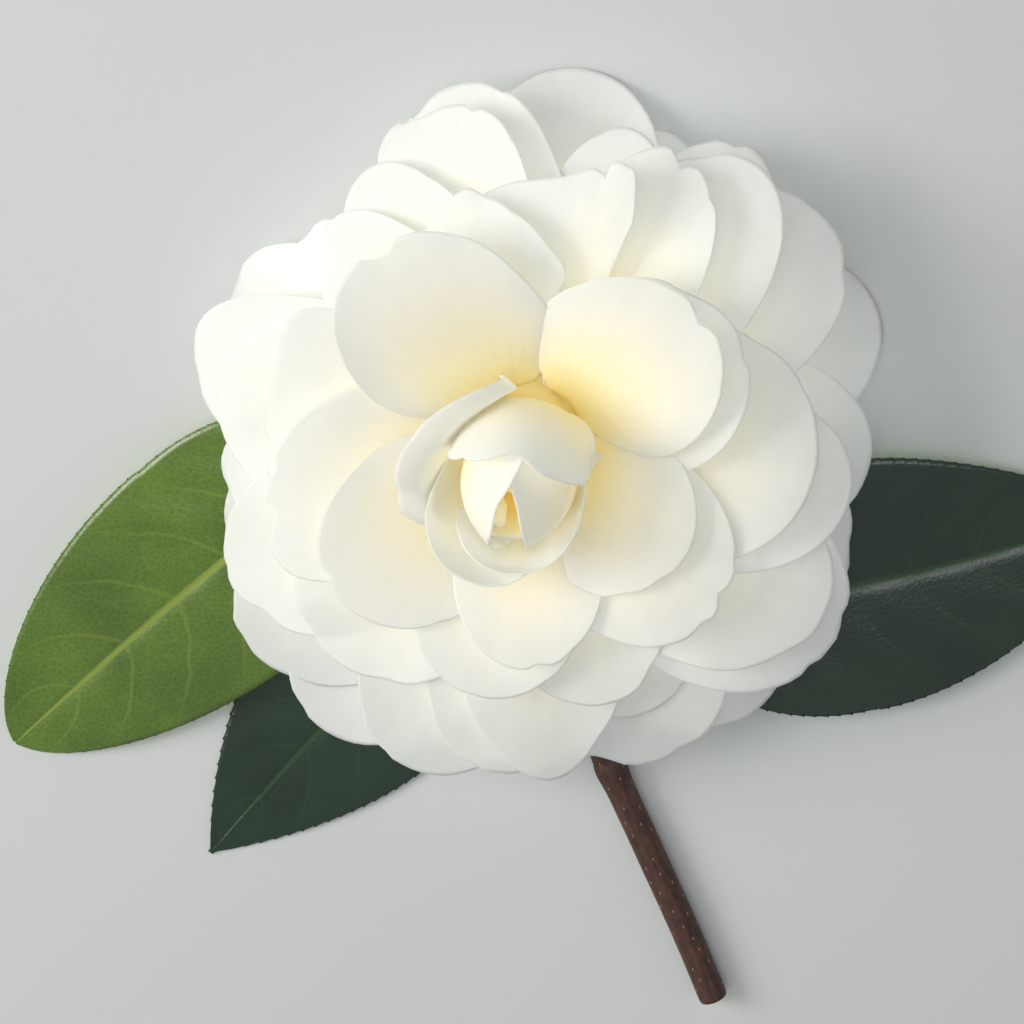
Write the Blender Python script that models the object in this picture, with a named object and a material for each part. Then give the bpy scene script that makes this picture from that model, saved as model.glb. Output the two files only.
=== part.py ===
"""Camellia flower, a white formal double, as picked: bloom, calyx, short twig and three leaves.

The bloom faces up on a vertical axis through the origin. The twig lies along the surface z = 0
below it. Lengths in the tables are in millimetres, and MM turns them into metres.
"""

import math

import bmesh
import bpy
import numpy as np
from mathutils import Matrix, Vector

MM = 0.001

# ---------------------------------------------------------------- bloom
PETAL_THICK = 0.62
PETAL_ROWS = (0.2, 0.5, 0.78, 1.0)      # shares of its length, the first sunk in the core
BUD_ROWS = (0.3, 0.55, 0.78, 1.0)
FLAT_WHERE_IT_RESTS = 0.0       # outer petals are pressed flat on the surface here
HEART_LEAN = 5.0                # degrees that the closed bud leans
HEART_TOWARDS = -107.0          # azimuth that it leans to
HEART_PIVOT = 14.0              # height that it leans from

# Every petal grows from the receptacle at its whorl's root (radius, height), rises, and arches
# out by `arch` degrees to its tip. `cup` is how far its sides curve up (degrees at the edge),
# `bank` lifts the clockwise side over the next petal, `end` is the rounded part of its length
# and `square` under 1 squares its tip. Each petal is (azimuth, reach, tip height, width) and, where
# it departs from its whorl, what sets it apart.
WHORLS = (
    # outermost, bent back to rest on the surface
    dict(root=(6.6, 8.0), arch=40, bank=6, petals=(
        (84.5, 48.2, -0.2, 29), (163, 48.0, -0.2, 28), (17, 49.2, -0.2, 28), (67, 43.5, 2.5, 22))),
    dict(root=(6.5, 8.6), arch=42, bank=8, petals=(
        (-178, 47, 6.5, 30), (-150, 52, 4, 30, dict(bank=0)), (-122, 60.5, 9, 28, dict(bank=-2)),
        (-55, 55.5, 7, 28), (-28, 50, 7, 30), (-5, 47.3, 8, 28), (53, 48.7, 7, 22))),
    dict(root=(6.5, 9.8), arch=50, bank=8, petals=(
        (103.5, 48.5, 8, 25, dict(square=0.9)), (145, 42.2, 10, 27), (171, 50.5, 10, 28),
        (-163, 46.8, 11, 30), (-136, 57, 12, 30), (-107, 57, 15, 28), (-69, 55.5, 11, 30),
        (-37, 53.2, 14, 32), (37, 49.8, 10, 28, dict(square=0.9)),
        (73, 44.5, 12, 18, dict(bank=2)))),
    dict(root=(6.3, 11.2), arch=50, bank=8, petals=(
        (107, 47, 13.5, 21, dict(square=0.7, end=0.3, skew=-1.0)), (121.5, 43.5, 16, 21),
        (133, 40.8, 17.5, 20), (178, 45, 16, 30), (-150, 50, 17.5, 28, dict(bank=-3)),
        (-95, 53.3, 17, 24), (-68, 46, 15, 24), (-33, 48.8, 19, 30), (-7, 45, 20, 28),
        (52, 49.4, 16, 25))),
    dict(root=(6.1, 12.2), arch=54, bank=8, petals=(
        (-87, 53.7, 17, 24, dict(square=1.2)), (63, 46.5, 19, 21))),
    dict(root=(6.0, 12.7), arch=50, bank=0, petals=(
        (-130, 44.5, 21, 30), (-73, 40, 23, 24))),
    dict(root=(6.0, 12.7), arch=50, bank=6, end=0.22, square=0.6, skew=6.5, claw=10, petals=(
        (88, 38, 23, 27),)),
    dict(root=(6.0, 13.3), arch=50, bank=6, end=0.24, square=0.55, petals=(
        (102, 38, 26, 22, dict(square=1.4, end=0.35)), (168.5, 36.2, 24, 29))),
    dict(root=(6.0, 13.3), arch=50, bank=6, petals=(
        (5, 40, 24, 34),)),
    dict(root=(5.4, 14.2), arch=50, bank=4, columns=7, petals=(
        (-168, 37, 27.5, 28, dict(skew=-5.0, square=0.8)), (37, 35, 30, 29), (-99, 36.4, 28, 25),
        (-40, 34.6, 28, 27))),
    dict(root=(5.0, 15.0), arch=45, bank=4, columns=7, petals=(
        (-88, 29.9, 31, 21), (-32, 25.8, 30, 24))),
    dict(root=(5.2, 15.0), arch=50, bank=0, columns=7, petals=(
        (120.5, 36, 33, 28, dict(square=0.88)),)),
    dict(root=(5.0, 15.8), arch=45, bank=4, columns=7, petals=(
        (-142, 32.4, 32, 26), (45.5, 34, 34, 27))),
    # the upright petal with a turned-out lip, the cupped petals round the bud and its hood
    dict(root=(5.0, 16.0), arch=1, cup=55, end=0.35, lip=-2.0, columns=8, bud=True, petals=(
        (139, 13.6, 40, 29),)),
    dict(root=(4.2, 17.0), arch=-50, cup=82, end=0.42, square=0.85, columns=8, bud=True, petals=(
        (-133, 12.5, 41, 26, dict(skew=-2.0)),)),
    dict(root=(4.0, 17.5), arch=-50, cup=85, end=0.42, square=0.85, columns=8, bud=True, petals=(
        (-57, 9.0, 41.5, 28),)),
    dict(root=(4.0, 18.0), arch=-95, cup=78, end=0.42, square=0.85, columns=8, bud=True, petals=(
        (80, 8, 45.5, 25.5),)),
    dict(root=(3.0, 19.0), arch=-60, cup=80, end=0.42, square=0.85, columns=7, bud=True, petals=(
        (178, -1.0, 47, 22, dict(skew=3.0)), (-8, 1.5, 46, 22, dict(skew=-2.0)))),
    dict(root=(2.0, 22.0), arch=-60, cup=80, end=0.42, square=0.85, columns=6, bud=True, petals=(
        (-100, 5.0, 42, 13),)),
)
# What a whorl has unless its row says otherwise. `heel` is the cup at the root, `claw` the width
# there, `skew` tilts the rim to one side and `lip` turns it outwards.
WHORL_HABIT = dict(columns=5, bank=0.0, cup=10.0, heel=20.0, claw=4.0, end=0.45, square=1.0,
                   skew=0.0, lip=0.0, bud=False)
LIP_FROM = 0.85                 # share of a petal's length where its lip starts
HEEL_TO = 0.4                   # share of its length where the heel's cup has gone
RIM_SWEEP = 0.98                # share of the rim's half turn that ends at the straight side

# The receptacle and the packed petal bases round it: radius and height up its side.
CORE = ((5.5, 6.9), (9.5, 8.9), (14.0, 10.6), (18.5, 12.2), (20.0, 14.0), (18.5, 16.2),
        (14.5, 18.4), (10.8, 20.5), (9.8, 24.0), (8.3, 29.0), (6.0, 34.0), (2.5, 37.0))
CORE_SIDES = 16


def petal_surface(habit, petal, us, vs):
    """Points of a petal's middle surface: vs from its root to its rim, us from side to side."""
    azimuth, reach, height, width = petal
    root_r, root_z = habit["root"]
    turn = -math.radians(habit["arch"])
    rise = math.atan2(height - root_z, reach - root_r) - turn / 2
    chord = math.hypot(height - root_z, reach - root_r)
    length = chord * (turn / 2) / math.sin(turn / 2)
    half = width / 2
    tip = habit["end"] * length
    centre = length - tip

    # The rim is an ellipse, squared if need be, met by straight sides from the claw.
    turned = us * math.acos(-tip / centre) * RIM_SWEEP
    ahead, beside = np.cos(turned), np.sin(turned)
    power = habit["square"]
    rim_along = centre + tip * np.sign(ahead) * np.abs(ahead) ** power + habit["skew"] * beside
    rim_across = half * np.sign(beside) * np.abs(beside) ** power
    along = vs[:, None] * rim_along
    across = vs[:, None] * rim_across + us * habit["claw"] / 2 * (1 - vs[:, None]) ** 2

    # The spine is an arc, and the cross-section curves up towards the sides.
    share = along / length
    angle = rise + turn * share
    r = root_r + length * (np.sin(angle) - math.sin(rise)) / turn
    z = root_z + length * (math.cos(rise) - np.cos(angle)) / turn
    grown = np.clip(share / HEEL_TO, 0, 1)
    bend = np.radians(habit["cup"] * grown + habit["heel"] * (1 - grown)) * across / half
    sine = np.where(np.abs(bend) < 1e-6, 1.0, np.sin(bend) / np.where(bend == 0, 1, bend))
    curve = np.where(np.abs(bend) < 1e-6, 0.0, (1 - np.cos(bend)) / np.where(bend == 0, 1, bend))
    lateral = across * sine
    lip = np.clip((vs[:, None] - LIP_FROM) / (1 - LIP_FROM), 0, 1) ** 2
    raised = across * curve + habit["lip"] * lip
    bank = math.radians(habit["bank"])
    aside = lateral * math.cos(bank) - raised * math.sin(bank)
    out = lateral * math.sin(bank) + raised * math.cos(bank)
    r = r - np.sin(angle) * out
    z = z + np.cos(angle) * out
    phi = math.radians(azimuth)
    points = np.stack([r * math.cos(phi) + aside * math.sin(phi),
                       r * math.sin(phi) - aside * math.cos(phi), z], axis=-1)
    return leaned(points) if habit["bud"] else points


def leaned(points):
    """Points of the heart, leaned about its pivot."""
    towards = math.radians(HEART_TOWARDS)
    axis = Vector((-math.sin(towards), math.cos(towards), 0))
    turn = np.array(Matrix.Rotation(math.radians(HEART_LEAN), 3, axis))
    pivot = np.array((0, 0, HEART_PIVOT))
    return (points - pivot) @ turn.T + pivot


# ---------------------------------------------------------------- calyx, twig and leaves
# Rounded sepals pressed to the underside of the bloom, in the same terms as the petals.
SEPAL_THICK = 0.7
SEPAL_COUNT = 5
SEPAL_COLUMNS = 4
SEPAL_ROWS = 3
SEPAL_VARIES = (7.0, 0.6, 0.15, 0.8)        # most change in azimuth, reach, height and width
SEPAL_SEED = 3
SEPAL_WHORLS = (
    dict(root=(1.5, 5.4), arch=-8, cup=8, heel=8, claw=4.5, first=20, size=(8.2, 5.8, 9.0)),
    dict(root=(1.5, 5.6), arch=-14, cup=9, heel=9, claw=4.5, first=56, size=(11.6, 7.0, 10.6)),
)
CALYX_DISC = ((2.6, 5.0), (3.4, 5.35), (3.2, 5.9))          # radius and height
SEAT_SIDES = 12

# The twig's route over the surface, from just behind the bloom to its cut end.
TWIG_ROUTE = ((-0.6, 3.4), (0.0, 0.0), (0.6, -6.0), (1.4, -16.0), (2.6, -28.0), (5.2, -42.0),
              (9.6, -56.0), (16.0, -71.0), (22.5, -86.0), (26.5, -96.0))
TWIG_RADIUS = 2.2
TWIG_STEPS = 24
TWIG_SIDES = 8
TWIG_JOINTS = ((0.097, 0.35), (0.165, 0.25), (0.334, 0.4), (0.6, 0.3))     # how far along, swelling
TWIG_JOINT_LENGTH = 0.026
PEDICEL = ((2.5, 1.2), (2.4, 3.6), (2.7, 4.65))             # radius and height of the bloom's seat

LEAF_THICK = 0.7
LEAF_ROWS = 28
LEAF_ACROSS = (-1, -0.5, 0, 0.5, 1)     # shares of its half width
LEAF_TEETH = 0.55                       # how far each tooth stands out of the margin
LEAF_BASE_HALF = 0.6
LEAF_TIP_HALF = 0.5
LEAF_TAPER = 0.3                        # how much narrower it is towards its tip
PETIOLE_RADIUS = 1.05
PETIOLE_HEIGHT = 1.95                   # of its middle, at the twig
PETIOLE_STEPS = 8
PETIOLE_SIDES = 6
# Each leaf: its midrib's points on the surface from the petiole's end to the tip, its width,
# the heights of its base, crown and tip, how far its halves fold up and how blunt its tip is.
LEAVES = {
    "leaf_left": dict(midrib=((-19, -3.5), (-45, -22), (-82, -60)), width=37, fold=0.05,
                      heights=(3.0, 3.8, 0.3), blunt=0.62, petiole=((-2.75, -6.5), (-9, -3.6)),
                      colour=(0.20, 0.27, 0.035)),
    "leaf_lower_left": dict(midrib=((-4.3, -19), (-22, -40), (-52, -77)), width=33, fold=0.02,
                            heights=(2.1, 0.7, 0.3), blunt=0.95, petiole=((-3.3, -12.4), (-3.8, -15.5)),
                            colour=(0.025, 0.075, 0.03)),
    "leaf_right": dict(midrib=((12, -31.5), (42, -30), (84, -14)), width=39, fold=0.10,
                       heights=(2.6, 3.2, 0.2), blunt=0.9, petiole=((6.3, -30.3), (8.8, -30.8)),
                       colour=(0.02, 0.06, 0.025)),
}


# ---------------------------------------------------------------- solids
def clear_scene():
    for thing in list(bpy.data.objects):
        bpy.data.objects.remove(thing, do_unlink=True)


def material(name, colour, roughness):
    made = bpy.data.materials.new(name)
    made.use_nodes = True
    shader = made.node_tree.nodes["Principled BSDF"]
    shader.inputs["Base Color"].default_value = (*colour, 1)
    shader.inputs["Roughness"].default_value = roughness
    shader.inputs["Metallic"].default_value = 0.0
    return made


def object_of(name, points, faces):
    """An object whose mesh has these points, in millimetres, and these faces."""
    mesh = bpy.data.meshes.new(name)
    mesh.from_pydata([tuple(point * MM) for point in np.asarray(points, float)], [], faces)
    mesh.validate()
    built = bpy.data.objects.new(name, mesh)
    bpy.context.collection.objects.link(built)
    return built


def sheet_solid(name, points, thickness, floor=None):
    """A closed solid round a grid of points: two faces split into triangles alike, and a rim."""
    down, across = np.gradient(points, axis=0), np.gradient(points, axis=1)
    normal = np.cross(down, across)
    normal /= np.linalg.norm(normal, axis=-1, keepdims=True)
    upper, lower = points + normal * thickness / 2, points - normal * thickness / 2
    if floor is not None:
        upper[..., 2] = np.maximum(upper[..., 2], floor + thickness)
        lower[..., 2] = np.maximum(lower[..., 2], floor)
    rows, columns = points.shape[:2]
    count = rows * columns
    at = np.arange(count).reshape(rows, columns)
    faces = []
    for i in range(rows - 1):
        for j in range(columns - 1):
            a, b, c, d = at[i, j], at[i, j + 1], at[i + 1, j + 1], at[i + 1, j]
            cut = ((a, b, c), (a, c, d)) if j < columns // 2 else ((a, b, d), (b, c, d))
            for one in cut:
                faces.append(tuple(int(k) for k in reversed(one)))
                faces.append(tuple(int(k) + count for k in one))
    around = [*at[0, :], *at[1:, -1], *at[-1, -2::-1], *at[-2:0:-1, 0]]
    for a, b in zip(around, around[1:] + around[:1]):
        a, b = int(a), int(b)
        faces += [(a, b, b + count), (a, b + count, a + count)]
    return object_of(name, np.concatenate([upper.reshape(-1, 3), lower.reshape(-1, 3)]), faces)


def ringed_solid(name, rings):
    """A closed solid through rings of points, capped by a fan at each end."""
    rings = np.asarray(rings, float)
    count, sides = rings.shape[:2]
    points = np.concatenate([rings.reshape(-1, 3), rings[:1].mean(1), rings[-1:].mean(1)])
    start, end = count * sides, count * sides + 1
    faces = []
    for j in range(sides):
        k = (j + 1) % sides
        for i in range(count - 1):
            a, b, c, d = i * sides + j, i * sides + k, (i + 1) * sides + k, (i + 1) * sides + j
            faces += [(a, b, c), (a, c, d)]
        faces.append((start, k, j))
        faces.append((end, (count - 1) * sides + j, (count - 1) * sides + k))
    return object_of(name, points, faces)


def turned_solid(name, profile, sides):
    """A solid turned about the vertical axis, from (radius, height) pairs, lowest first."""
    angles = np.arange(sides) * 2 * math.pi / sides
    return ringed_solid(name, [np.stack([r * np.cos(angles), r * np.sin(angles),
                                         np.full(sides, z)], -1) for r, z in profile])


def tube_solid(name, route, radii, sides):
    """A tube along a nearly level route of points, with a flat side down, capped at both ends."""
    route = np.asarray(route, float)
    up = np.array((0.0, 0.0, 1.0))
    side = np.cross(up, np.gradient(route, axis=0))
    side /= np.linalg.norm(side, axis=-1, keepdims=True)
    angles = (np.arange(sides) + 0.5) * 2 * math.pi / sides - math.pi / 2
    rings = [point + radius / math.cos(math.pi / sides)
             * (np.cos(angles)[:, None] * right + np.sin(angles)[:, None] * up)
             for point, radius, right in zip(route, radii, side)]
    return ringed_solid(name, rings)


def keep_outer_shell(mesh):
    """Fill the hollows that a union sealed and drop its scraps: keep the widest shell only."""
    shape = bmesh.new()
    shape.from_mesh(mesh)
    waiting = set(shape.verts)
    shells = []
    while waiting:
        shell, edge = set(), [waiting.pop()]
        while edge:
            point = edge.pop()
            shell.add(point)
            for near in (link.other_vert(point) for link in point.link_edges):
                if near in waiting:
                    waiting.remove(near)
                    edge.append(near)
        shells.append(shell)
    shells.sort(key=lambda shell: max(point.co.length for point in shell))
    inner = [point for shell in shells[:-1] for point in shell]
    bmesh.ops.delete(shape, geom=inner, context="VERTS")
    shape.to_mesh(mesh)
    shape.free()


def fused(name, body, pieces, finish):
    """The body and its pieces joined as one closed mesh, the pieces removed."""
    group = bpy.data.collections.new(name + " pieces")
    bpy.context.scene.collection.children.link(group)
    for piece in pieces:
        group.objects.link(piece)
    union = body.modifiers.new("Union", "BOOLEAN")
    union.operation = "UNION"
    union.solver = "MANIFOLD"
    union.operand_type = "COLLECTION"
    union.collection = group
    graph = bpy.context.evaluated_depsgraph_get()
    mesh = bpy.data.meshes.new_from_object(body.evaluated_get(graph))
    keep_outer_shell(mesh)
    body.modifiers.clear()
    body.data = mesh
    for piece in pieces:
        bpy.data.objects.remove(piece, do_unlink=True)
    bpy.data.collections.remove(group)
    body.name = name
    mesh.name = name
    mesh.materials.clear()
    mesh.materials.append(finish)
    return body


def smooth_route(points, steps):
    """Evenly spaced points on a smooth curve through the given ones."""
    points = np.asarray(points, float)
    knots = np.concatenate([[0], np.cumsum(np.linalg.norm(np.diff(points, axis=0), axis=1))])
    slopes = np.gradient(points, knots, axis=0)
    where = np.linspace(0, knots[-1], steps + 1)
    i = np.clip(np.searchsorted(knots, where, side="right") - 1, 0, len(knots) - 2)
    span = (knots[i + 1] - knots[i])[:, None]
    t = (where - knots[i])[:, None] / span
    return ((2 * t**3 - 3 * t**2 + 1) * points[i] + (t**3 - 2 * t**2 + t) * span * slopes[i]
            + (3 * t**2 - 2 * t**3) * points[i + 1] + (t**3 - t**2) * span * slopes[i + 1])


# ---------------------------------------------------------------- pieces
def bloom():
    petals = []
    for whorl in WHORLS:
        habit = {**WHORL_HABIT, **whorl}
        us = np.linspace(-1, 1, habit["columns"] + 1)
        vs = np.array(BUD_ROWS if habit["bud"] else PETAL_ROWS)
        for petal in habit["petals"]:
            own = dict(*petal[4:])
            points = petal_surface({**habit, **own}, petal[:4], us, vs)
            petals.append(sheet_solid("petal", points, PETAL_THICK, FLAT_WHERE_IT_RESTS))
    core = turned_solid("bloom", CORE, CORE_SIDES)
    return fused("bloom", core, petals, material("white petal", (0.86, 0.83, 0.70), 0.5))


def calyx():
    us = np.linspace(-1, 1, SEPAL_COLUMNS + 1)
    vs = np.linspace(0, 1, SEPAL_ROWS + 1)
    draw = np.random.default_rng(SEPAL_SEED)
    sepals = []
    for whorl in SEPAL_WHORLS:
        habit = {**WHORL_HABIT, **whorl}
        for i in range(SEPAL_COUNT):
            regular = (whorl["first"] + i * 360 / SEPAL_COUNT, *whorl["size"])
            petal = regular + draw.uniform(-1, 1, 4) * SEPAL_VARIES
            sepals.append(sheet_solid("sepal", petal_surface(habit, petal, us, vs), SEPAL_THICK))
    disc = turned_solid("calyx", CALYX_DISC, SEAT_SIDES)
    return fused("calyx", disc, sepals, material("green-brown sepal", (0.16, 0.15, 0.05), 0.6))


def twig():
    route = smooth_route([(x, y, TWIG_RADIUS) for x, y in TWIG_ROUTE], TWIG_STEPS)
    share = np.linspace(0, 1, TWIG_STEPS + 1)
    radii = TWIG_RADIUS * np.ones(TWIG_STEPS + 1)
    for where, swelling in TWIG_JOINTS:
        radii += swelling * np.exp(-((share - where) / TWIG_JOINT_LENGTH) ** 2)
    route[:, 2] = radii
    stem = tube_solid("twig", route, radii, TWIG_SIDES)
    seat = turned_solid("pedicel", PEDICEL, SEAT_SIDES)
    return fused("twig", stem, [seat], material("red-brown bark", (0.16, 0.055, 0.03), 0.7))


def leaf(name, habit):
    """A blade with toothed margins, arched along its midrib, and its petiole."""
    start, bend, end = (np.array(point, float) for point in habit["midrib"])
    base, crown, tip = habit["heights"]
    t = np.linspace(0, 1, LEAF_ROWS + 1)[:, None]
    midrib = (1 - t) ** 2 * start + 2 * t * (1 - t) * bend + t**2 * end
    ahead = np.gradient(midrib, axis=0)
    ahead /= np.linalg.norm(ahead, axis=1, keepdims=True)
    aside = np.stack([-ahead[:, 1], ahead[:, 0]], -1)
    t = t[:, 0]
    widest = habit["width"] / 2
    half = widest * np.sin(math.pi * t**0.92) ** 0.85 * (1 - LEAF_TAPER * t**5)
    half = np.where(t > 0.5, np.maximum(half, widest * (4 * t * (1 - t)) ** habit["blunt"]), half)
    half[0] = LEAF_BASE_HALF
    half[-1] = LEAF_TIP_HALF
    teeth = LEAF_TEETH * (np.arange(LEAF_ROWS + 1) % 2) * np.clip(4 * t, 0, 1)
    half[1:-1] += teeth[1:-1]
    height = base * (1 - t) ** 2 + 2 * t * (1 - t) * (2 * crown - (base + tip) / 2) + tip * t**2
    points = []
    for across in LEAF_ACROSS:
        wide = across * half
        lift = habit["fold"] * np.abs(wide) * (1 - np.abs(wide) / habit["width"])
        points.append(np.column_stack([midrib + aside * wide[:, None], height + lift]))
    sheet = np.stack(points, axis=1)
    blade = sheet_solid(name, sheet[:, ::-1], LEAF_THICK, 0.0)
    stalk_points = [(*point, PETIOLE_HEIGHT) for point in habit["petiole"]]
    stalk_points += [(*midrib[0], base), (*midrib[2], height[2] - 0.2)]
    stalk = tube_solid("petiole", smooth_route(stalk_points, PETIOLE_STEPS),
                       np.full(PETIOLE_STEPS + 1, PETIOLE_RADIUS), PETIOLE_SIDES)
    return fused(name, blade, [stalk], material(name + " green", habit["colour"], 0.35))


def main():
    clear_scene()
    bloom()
    calyx()
    twig()
    for name, habit in LEAVES.items():
        leaf(name, habit)


main()
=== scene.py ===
"""Looks of a picked camellia: a white formal double bloom, its calyx, twig and three leaves."""

import math

import bpy
import numpy as np
from mathutils import Matrix, Vector


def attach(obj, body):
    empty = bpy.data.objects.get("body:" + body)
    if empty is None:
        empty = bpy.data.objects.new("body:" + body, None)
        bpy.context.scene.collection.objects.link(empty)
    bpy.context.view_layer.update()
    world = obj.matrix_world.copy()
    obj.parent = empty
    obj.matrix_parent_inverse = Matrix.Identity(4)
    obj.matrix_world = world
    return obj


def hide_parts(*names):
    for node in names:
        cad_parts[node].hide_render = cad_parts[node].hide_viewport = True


bl_info = {
    "name": "Camellia flower",
    "version": (1, 0, 0),
    "blender": (4, 5, 0),
    "location": "View3D > Sidebar > Camellia",
    "description": "Dresses a picked white camellia: petals, calyx, twig, leaves and a stage",
    "category": "Object",
}

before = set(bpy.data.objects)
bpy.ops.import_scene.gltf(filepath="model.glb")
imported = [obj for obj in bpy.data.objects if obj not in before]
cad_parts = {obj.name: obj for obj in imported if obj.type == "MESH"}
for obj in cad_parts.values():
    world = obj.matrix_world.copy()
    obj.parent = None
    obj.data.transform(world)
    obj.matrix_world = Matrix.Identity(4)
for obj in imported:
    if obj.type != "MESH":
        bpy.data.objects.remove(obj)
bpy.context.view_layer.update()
MM = 0.001

# -------- shapes, in millimetres
# Every petal grows from the receptacle at its whorl's root (radius, height), rises, and arches
# out by `arch` degrees to its tip. `cup` is how far its sides curve up (degrees at the edge),
# `bank` lifts the clockwise side over the next petal, `end` is the rounded part of its length
# and `square` under 1 squares its tip. `warm` is how deep a yellow its base
# has: partly its pigment and partly painted warm glow, the light that bounces between the
# petals painted into their colour low down. Each petal is (azimuth, reach, tip height, width)
# and, if need be, what sets it apart (see PETAL_HABIT).
WHORLS = (
    dict(root=(6.6, 8.0), arch=40, bank=6, warm=0.45, petals=(
        (84.5, 48.2, -0.2, 29), (163, 48.0, -0.2, 28), (17, 49.2, -0.2, 28),
        (67, 43.5, 2.5, 22))),
    dict(root=(6.5, 8.6), arch=42, bank=8, warm=0.45, petals=(
        (-178, 47, 6.5, 30), (-150, 52, 5.3, 30, dict(bank=0)),
        (-122, 60.5, 9, 28, dict(bank=-2)), (-55, 55.5, 7, 28), (-28, 50, 7, 30),
        (-5, 47.3, 8, 28), (53, 48.7, 7, 22))),
    dict(root=(6.5, 9.8), arch=50, bank=8, warm=0.5, petals=(
        (103.5, 48.5, 8, 25, dict(square=0.9)), (145, 42.2, 10, 27),
        (171, 50.5, 10, 28), (-163, 46.8, 11, 30), (-136, 57, 10.8, 30),
        (-107, 57, 15, 28), (-69, 55.5, 11, 30), (-37, 53.2, 14, 32),
        (37, 49.8, 10, 28, dict(square=0.9)), (73, 44.5, 12, 18, dict(bank=2)))),
    dict(root=(6.3, 11.2), arch=50, bank=8, warm=0.55, petals=(
        (107, 47, 13.5, 21, dict(square=0.7, end=0.3, skew=-1.0)), (121.5, 43.5, 16, 21),
        (133, 40.8, 17.5, 20), (178, 45, 16, 30), (-150, 50, 18.2, 28, dict(bank=-3)),
        (-95, 53.3, 17, 24), (-68, 46, 15, 24), (-33, 48.8, 19, 30),
        (-7, 45, 20, 28), (52, 49.4, 16, 25))),
    dict(root=(6.1, 12.2), arch=54, bank=8, warm=0.6, petals=(
        (-87, 53.7, 17, 24, dict(square=1.2)),
        (63, 46.5, 19, 21, dict(notches=((0.0, 2.4, 0.05),))))),
    dict(root=(6.0, 12.7), arch=50, bank=0, warm=0.65, petals=(
        (-130, 44.5, 21, 30), (-73, 40, 23, 24))),
    dict(root=(6.0, 12.7), arch=50, bank=6, end=0.22, square=0.6, skew=6.5, claw=10, warm=0.65,
         petals=((88, 38, 23, 27),)),
    dict(root=(6.0, 13.3), arch=50, bank=6, end=0.24, square=0.55, warm=0.65, petals=(
        (102, 38, 26, 22, dict(square=1.4, end=0.35)), (168.5, 36.2, 24, 29))),
    dict(root=(6.0, 13.3), arch=50, bank=6, warm=0.7, petals=(
        (5, 40, 24, 34),)),
    dict(root=(5.4, 14.2), arch=50, bank=4, warm=0.8, petals=(
        (-168, 37, 27.5, 28, dict(notches=((-0.06, 1.8, 0.04), (0.09, 1.0, 0.04)), skew=-5.0,
                                  square=0.8)),
        (37, 35, 30, 29), (-99, 36.4, 28, 25),
        (-40, 34.6, 28, 27, dict(notches=((-0.09, 1.4, 0.04), (0.055, 0.8, 0.04)))))),
    dict(root=(5.0, 15.0), arch=45, bank=4, warm=1.0, petals=(
        (-88, 29.9, 31.3, 21), (-32, 25.8, 29.8, 24))),
    dict(root=(5.2, 15.0), arch=50, bank=0, warm=0.9, petals=(
        (120.5, 36, 33, 28, dict(notches=((-0.02, 1.9, 0.04),), square=0.88, right=8,
                                 left=14)),)),
    dict(root=(5.0, 15.8), arch=45, bank=4, warm=1.0, petals=(
        (-142, 32.4, 32, 26, dict(notches=((0.1, 1.0, 0.04),))),
        (45.5, 34, 34, 27, dict(notches=((0.04, 1.6, 0.05),))))),
)
# The heart: an upright petal with a turned-out lip, cupped petals round the bud, and a hood.
HEART = (
    dict(root=(5.4, 16.0), arch=1, cup=44, end=0.38, lip=-3.0, warm=1.0, petals=(
        (155, 12.8, 40.5, 27, dict(square=1.1, skew=-0.5)),)),
    dict(root=(4.2, 17.0), arch=-50, cup=82, end=0.42, square=0.85, warm=1.1, petals=(
        (-127, 12.5, 41, 24.5, dict(skew=-1.5)),)),
    dict(root=(4.0, 17.5), arch=-50, cup=85, end=0.42, square=0.85, warm=1.1, petals=(
        (-66, 9.2, 41.5, 27, dict(skew=2.2)),)),
    dict(root=(4.0, 18.0), arch=-76, cup=78, end=0.42, square=0.85, warm=1.0, petals=(
        (80, 8, 45.5, 25.5, dict(notches=((0.0, 2.2, 0.06),))),)),
    dict(root=(3.4, 19.0), arch=-85, cup=80, end=0.42, square=0.85, warm=1.2, petals=(
        (181, 0.9, 45.5, 24, dict(skew=6.5)), (-4, 2.3, 45.3, 20.5, dict(skew=-4.0)))),
    dict(root=(2.4, 22.0), arch=-90, cup=80, end=0.42, square=0.85, warm=2.0, petals=(
        (-110, 3.6, 41.5, 13), (-160, 2.5, 40.5, 11))),
)
# `heel` is the cup at the root, `claw` the width there, `skew` tilts the rim, `lip` turns it out,
# `left` and `right` roll the sides (degrees), `notches` are (place across, depth, width).
PETAL_HABIT = dict(bank=0.0, cup=10.0, heel=20.0, claw=4.0, end=0.45, square=1.0, skew=0.0,
                   lip=0.0, left=0.0, right=0.0, notches=())
LIP_FROM = 0.85
HEEL_TO = 0.4
RIM_SWEEP = 0.98
FIRST_SEEN = 0.12               # share of a petal's length that the receptacle hides
RIM_ROW = 0.985                 # the last row before the rim, close to it so the edge stays crisp
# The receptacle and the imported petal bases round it: radius and height up its side.
RECEPTACLE = ((1.0, 6.5), (6.0, 7.2), (8.6, 9.0), (9.4, 11.5), (8.8, 14.5), (7.6, 17.5),
              (6.6, 21.0), (5.6, 26.0), (4.0, 31.0), (1.5, 34.0))
RECEPTACLE_SIDES = 48
HEART_LEAN = 5.0                # degrees that the closed bud leans
HEART_TOWARDS = -107.0          # azimuth that it leans to
HEART_PIVOT = 14.0              # height that it leans from
PETAL_SEED = 11
NICKS = 5                       # chance nicks in each petal's rim
REST_GAP = 0.5                  # least height of a petal's middle surface
ROLL_FROM = 0.45                # share of a petal's half width where `left` and `right` begin
ROLL_STEPS = 8
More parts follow.
